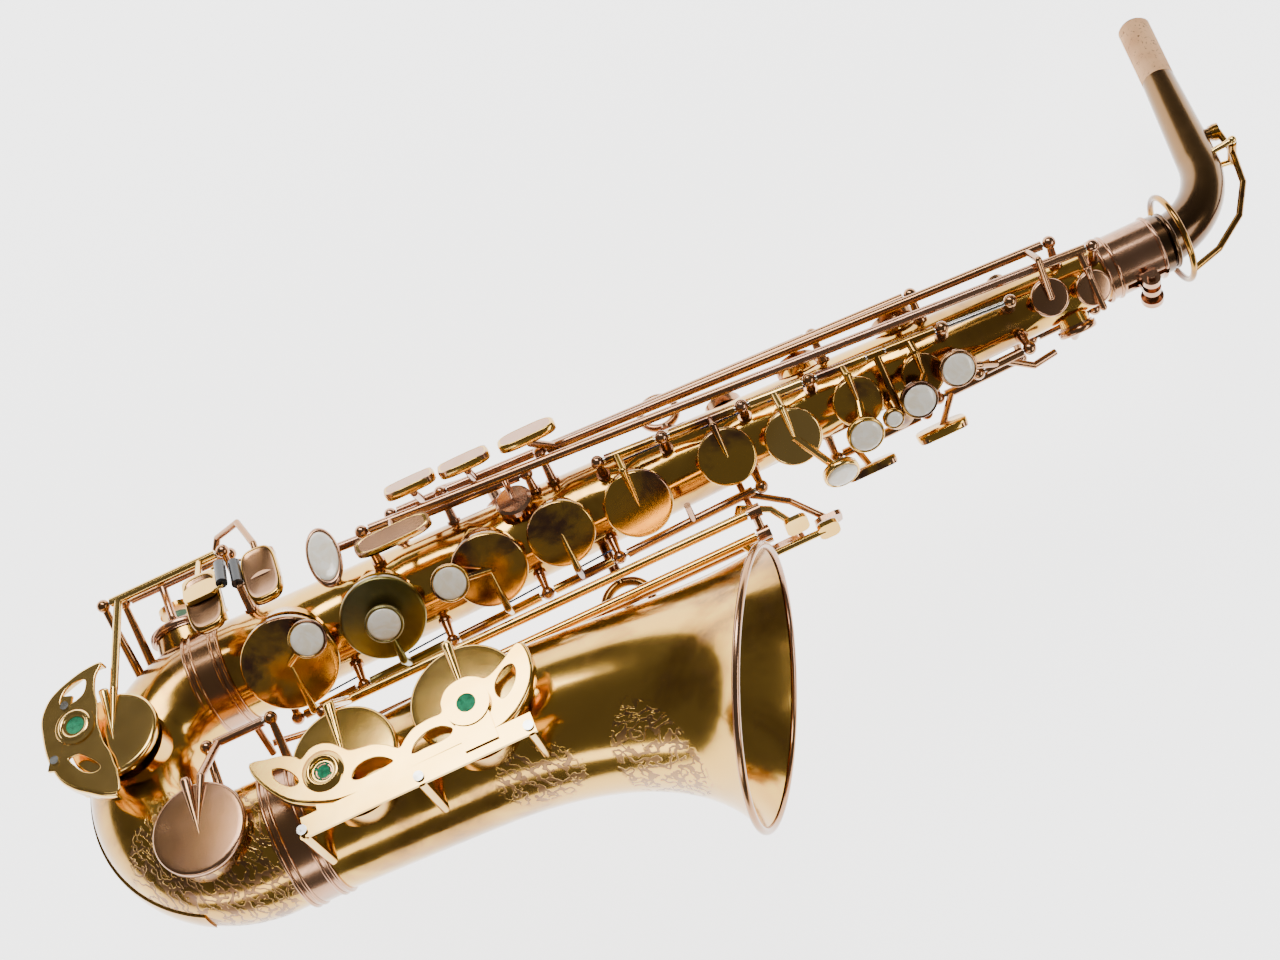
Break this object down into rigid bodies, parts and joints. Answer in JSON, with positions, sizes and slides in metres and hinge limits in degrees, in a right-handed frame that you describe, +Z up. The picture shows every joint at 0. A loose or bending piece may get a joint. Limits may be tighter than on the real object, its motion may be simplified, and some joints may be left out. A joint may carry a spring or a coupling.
{
  "type": "alto saxophone",
  "caption": "Alto saxophone: conical brass body, bow and flared bell, padded keys that turn on rods between posts, a swivelling neck with a cork, guards, strap ring and thumb hook.",
  "frame": {"origin": "centre of the strap ring's hole at the back of the body tube", "axes": "+Z up the body tube to the neck, -Y towards the bell, -X the player's right"},
  "size_m": [0.1254, 0.3043, 0.6122],
  "materials": {
    "lacquered_brass": "aged clear lacquer over polished brass",
    "aged_brass": "tarnished, satin",
    "dark_brass": "dark tarnish",
    "steel": "polished",
    "blued_steel": "blued",
    "cork": "sanded cork",
    "green_felt": "felt",
    "black_plastic": "gloss"
  },
  "bodies": {
    "horn": {"body_tube": "lacquered_brass", "bow_tube": "lacquered_brass", "bell_tube": "lacquered_brass", "bell_rim_wire": "lacquered_brass", "body_ferrule": "aged_brass", "bell_ferrule": "aged_brass", "neck_receiver": "aged_brass", "key_posts": "aged_brass", "pivot_rods": "steel", "bell_key_guard": "lacquered_brass", "low_c_guard": "lacquered_brass", "low_e_flat_guard": "lacquered_brass", "guard_felts": "green_felt", "strap_ring": "aged_brass", "thumb_hook": "aged_brass", "thumb_rest": "aged_brass", "bell_brace": "aged_brass", "bow_guard_strip": "lacquered_brass", "needle_springs": "blued_steel", "guard_screws": "steel"},
    "neck": {"neck_tube": "dark_brass", "neck_cork": "cork", "neck_octave_saddle": "aged_brass", "neck_octave_rod": "steel"},
    "d_key": {"d_key": "aged_brass"},
    "e_key": {"e_key": "aged_brass"},
    "f_key": {"f_key": "aged_brass"},
    "f_sharp_key": {"f_sharp_key": "aged_brass"},
    "g_key": {"g_key": "aged_brass"},
    "a_key": {"a_key": "aged_brass"},
    "c_key": {"c_key": "aged_brass"},
    "bis_key": {"bis_key": "aged_brass"},
    "b_key": {"b_key": "aged_brass"},
    "g_sharp_key": {"g_sharp_key": "aged_brass"},
    "side_bb_key": {"side_bb_key": "aged_brass"},
    "side_c_key": {"side_c_key": "aged_brass"},
    "high_e_key": {"high_e_key": "aged_brass"},
    "high_f_sharp_key": {"high_f_sharp_key": "aged_brass"},
    "trill_f_sharp_key": {"trill_f_sharp_key": "aged_brass"},
    "low_c_key": {"low_c_key": "lacquered_brass"},
    "low_eb_key": {"low_eb_key": "aged_brass"},
    "low_b_key": {"low_b_key": "lacquered_brass"},
    "low_b_flat_key": {"low_b_flat_key": "lacquered_brass"},
    "low_c_sharp_key": {"low_c_sharp_key": "aged_brass"},
    "low_c_sharp_lever": {"low_c_sharp_lever": "aged_brass"},
    "g_sharp_lever": {"g_sharp_lever": "aged_brass"},
    "palm_d_key": {"palm_d_key": "aged_brass"},
    "palm_e_flat_key": {"palm_e_flat_key": "aged_brass"},
    "palm_f_key": {"palm_f_key": "aged_brass"},
    "front_f_key": {"front_f_key": "aged_brass"},
    "octave_thumb_lever": {"octave_thumb_lever": "aged_brass"},
    "body_octave_key": {"body_octave_key": "aged_brass"},
    "neck_octave_key": {"neck_octave_key": "aged_brass"},
    "neck_clamp_screw": {"neck_clamp_screw": "aged_brass"},
    "low_c_roller": {"low_c_roller": "black_plastic"},
    "low_e_flat_roller": {"low_e_flat_roller": "black_plastic"}
  },
  "joints": [
    {"name": "d_key_turn", "type": "hinge", "parent": "horn", "child": "d_key", "pos_m": [0.00239, -0.06443, -0.09], "axis": [0.0201, -0.022, -0.9996], "range_deg": [0, 10], "stiffness_Nm_per_rad": 0.04, "springref_deg": -28.65},
    {"name": "e_key_turn", "type": "hinge", "parent": "horn", "child": "e_key", "pos_m": [0.00239, -0.06443, -0.09], "axis": [0.0201, -0.022, -0.9996], "range_deg": [0, 10], "stiffness_Nm_per_rad": 0.04, "springref_deg": -28.65},
    {"name": "f_key_turn", "type": "hinge", "parent": "horn", "child": "f_key", "pos_m": [0.00239, -0.06443, -0.09], "axis": [0.0201, -0.022, -0.9996], "range_deg": [0, 10], "stiffness_Nm_per_rad": 0.04, "springref_deg": -28.65},
    {"name": "f_sharp_key_turn", "type": "hinge", "parent": "horn", "child": "f_sharp_key", "pos_m": [0.00239, -0.06443, -0.09], "axis": [0.0201, -0.022, -0.9996], "range_deg": [0, 10], "stiffness_Nm_per_rad": 0.01, "springref_deg": -28.65},
    {"name": "g_key_turn", "type": "hinge", "parent": "horn", "child": "g_key", "pos_m": [-0.02696, -0.03774, 0.0645], "axis": [0.0335, -0.0523, 0.9981], "range_deg": [0, 10], "stiffness_Nm_per_rad": 0.04, "springref_deg": -28.65},
    {"name": "a_key_turn", "type": "hinge", "parent": "horn", "child": "a_key", "pos_m": [-0.02696, -0.03774, 0.0645], "axis": [0.0335, -0.0523, 0.9981], "range_deg": [0, 10], "stiffness_Nm_per_rad": 0.04, "springref_deg": -28.65},
    {"name": "c_key_turn", "type": "hinge", "parent": "horn", "child": "c_key", "pos_m": [-0.02696, -0.03774, 0.0645], "axis": [0.0335, -0.0523, 0.9981], "range_deg": [0, 10], "stiffness_Nm_per_rad": 0.04, "springref_deg": -28.65},
    {"name": "bis_key_turn", "type": "hinge", "parent": "horn", "child": "bis_key", "pos_m": [-0.02696, -0.03774, 0.0645], "axis": [0.0335, -0.0523, 0.9981], "range_deg": [0, 10], "stiffness_Nm_per_rad": 0.04, "springref_deg": -28.65},
    {"name": "b_key_turn", "type": "hinge", "parent": "horn", "child": "b_key", "pos_m": [-0.02696, -0.03774, 0.0645], "axis": [0.0335, -0.0523, 0.9981], "range_deg": [0, 10], "stiffness_Nm_per_rad": 0.04, "springref_deg": -28.65},
    {"name": "g_sharp_key_turn", "type": "hinge", "parent": "horn", "child": "g_sharp_key", "pos_m": [-0.02696, -0.03774, 0.0645], "axis": [-0.0335, 0.0523, -0.9981], "range_deg": [0, 10], "stiffness_Nm_per_rad": 0.01, "springref_deg": -28.65},
    {"name": "side_bb_key_turn", "type": "hinge", "parent": "horn", "child": "side_bb_key", "pos_m": [-0.01847, -0.00563, -0.027], "axis": [-0.0014, -0.0405, 0.9992], "range_deg": [0, 8], "stiffness_Nm_per_rad": 0.04, "springref_deg": -28.65},
    {"name": "side_c_key_turn", "type": "hinge", "parent": "horn", "child": "side_c_key", "pos_m": [-0.02304, -0.01064, 0.01], "axis": [0.0051, -0.0406, 0.9992], "range_deg": [0, 8], "stiffness_Nm_per_rad": 0.04, "springref_deg": -28.65},
    {"name": "high_e_key_turn", "type": "hinge", "parent": "horn", "child": "high_e_key", "pos_m": [-0.02657, -0.0179, 0.068], "axis": [-0.0101, 0.0463, -0.9989], "range_deg": [0, 8], "stiffness_Nm_per_rad": 0.04, "springref_deg": -28.65},
    {"name": "high_f_sharp_key_turn", "type": "hinge", "parent": "horn", "child": "high_f_sharp_key", "pos_m": [-0.03168, -0.02667, 0.032], "axis": [-0.035, 0.0502, -0.9981], "range_deg": [0, 8], "stiffness_Nm_per_rad": 0.04, "springref_deg": -28.65},
    {"name": "trill_f_sharp_key_turn", "type": "hinge", "parent": "horn", "child": "trill_f_sharp_key", "pos_m": [-0.02588, -0.01471, -0.117], "axis": [-0.0244, 0.056, -0.9981], "range_deg": [0, 8], "stiffness_Nm_per_rad": 0.04, "springref_deg": -28.65},
    {"name": "low_c_key_turn", "type": "hinge", "parent": "horn", "child": "low_c_key", "pos_m": [-0.036, 0.007, -0.239], "axis": [0, 0, 1], "range_deg": [0, 5], "stiffness_Nm_per_rad": 0.04, "springref_deg": -28.65},
    {"name": "low_eb_key_turn", "type": "hinge", "parent": "horn", "child": "low_eb_key", "pos_m": [-0.025, 0.012, -0.236], "axis": [0, 0, 1], "range_deg": [0, 8], "stiffness_Nm_per_rad": 0.04, "springref_deg": -28.65},
    {"name": "low_b_key_turn", "type": "hinge", "parent": "horn", "child": "low_b_key", "pos_m": [-0.009, -0.078, -0.087], "axis": [0, 0, 1], "range_deg": [0, 5.5], "stiffness_Nm_per_rad": 0.04, "springref_deg": -28.65},
    {"name": "low_b_flat_key_turn", "type": "hinge", "parent": "horn", "child": "low_b_flat_key", "pos_m": [-0.002, -0.086, -0.059], "axis": [0, 0, 1], "range_deg": [0, 5.5], "stiffness_Nm_per_rad": 0.04, "springref_deg": -28.65},
    {"name": "low_c_sharp_key_turn", "type": "hinge", "parent": "horn", "child": "low_c_sharp_key", "pos_m": [-0.024, -0.079, -0.228], "axis": [0, 0, -1], "range_deg": [0, 7], "stiffness_Nm_per_rad": 0.01, "springref_deg": -28.65},
    {"name": "low_c_sharp_lever_turn", "type": "hinge", "parent": "horn", "child": "low_c_sharp_lever", "pos_m": [0.007, -0.083, -0.091], "axis": [0, 0, 1], "range_deg": [0, 7], "stiffness_Nm_per_rad": 0.04, "springref_deg": -28.65},
    {"name": "g_sharp_lever_turn", "type": "hinge", "parent": "horn", "child": "g_sharp_lever", "pos_m": [0.00239, -0.06443, -0.09], "axis": [-0.0201, 0.022, 0.9996], "range_deg": [0, 8], "stiffness_Nm_per_rad": 0.04, "springref_deg": -28.65},
    {"name": "palm_d_key_turn", "type": "hinge", "parent": "horn", "child": "palm_d_key", "pos_m": [0.02543, -0.04768, 0.0905], "axis": [0.0203, -0.0117, -0.9997], "range_deg": [0, 8], "stiffness_Nm_per_rad": 0.04, "springref_deg": -28.65},
    {"name": "palm_e_flat_key_turn", "type": "hinge", "parent": "horn", "child": "palm_e_flat_key", "pos_m": [0.02824, -0.04004, 0.1445], "axis": [0.0227, -0.0057, -0.9997], "range_deg": [0, 8], "stiffness_Nm_per_rad": 0.04, "springref_deg": -28.65},
    {"name": "palm_f_key_turn", "type": "hinge", "parent": "horn", "child": "palm_f_key", "pos_m": [0.0229, -0.03541, 0.1905], "axis": [-0.0233, 0.0025, 0.9997], "range_deg": [0, 8], "stiffness_Nm_per_rad": 0.01, "springref_deg": -28.65},
    {"name": "front_f_key_turn", "type": "hinge", "parent": "horn", "child": "front_f_key", "pos_m": [-0.0025, -0.05679, 0.152], "axis": [-0.0025, -0.0233, -0.9997], "range_deg": [0, 8], "stiffness_Nm_per_rad": 0.04, "springref_deg": -28.65},
    {"name": "octave_thumb_lever_turn", "type": "hinge", "parent": "horn", "child": "octave_thumb_lever", "pos_m": [0.01383, -0.00905, 0.121], "axis": [-0.0117, -0.0203, 0.9997], "range_deg": [0, 6], "stiffness_Nm_per_rad": 0.04, "springref_deg": -28.65},
    {"name": "body_octave_key_turn", "type": "hinge", "parent": "horn", "child": "body_octave_key", "pos_m": [0.01383, -0.00905, 0.121], "axis": [0.0117, 0.0203, -0.9997], "range_deg": [0, 8], "stiffness_Nm_per_rad": 0.01, "springref_deg": -28.65},
    {"name": "neck_swivel", "type": "hinge", "parent": "horn", "child": "neck", "pos_m": [0, -0.033, 0.225], "axis": [0, 0, 1], "range_deg": [-15, 15]},
    {"name": "neck_octave_key_turn", "type": "hinge", "parent": "neck", "child": "neck_octave_key", "pos_m": [0, -0.002, 0.297], "axis": [1, 0, 0], "range_deg": [0, 3.5], "stiffness_Nm_per_rad": 0.04, "springref_deg": -28.65},
    {"name": "neck_clamp_screw_turn", "type": "hinge", "parent": "horn", "child": "neck_clamp_screw", "pos_m": [0, -0.0511, 0.229], "axis": [1, 0, 0], "continuous": true},
    {"name": "low_c_roller_turn", "type": "hinge", "parent": "low_c_key", "child": "low_c_roller", "pos_m": [-0.05377, -0.01773, -0.208], "axis": [-0.342, -0.9397, 0], "continuous": true},
    {"name": "low_e_flat_roller_turn", "type": "hinge", "parent": "low_eb_key", "child": "low_e_flat_roller", "pos_m": [-0.05141, -0.01922, -0.202], "axis": [-0.2588, -0.9659, 0], "continuous": true}
  ],
  "couplings": [
    {"joint": "f_sharp_key_turn", "follows": "f_key_turn", "ratio": 1},
    {"joint": "g_sharp_key_turn", "follows": "g_sharp_lever_turn", "ratio": 1.25},
    {"joint": "low_c_sharp_key_turn", "follows": "low_c_sharp_lever_turn", "ratio": 1},
    {"joint": "palm_f_key_turn", "follows": "front_f_key_turn", "ratio": 1},
    {"joint": "body_octave_key_turn", "follows": "octave_thumb_lever_turn", "ratio": 1.3333}
  ]
}
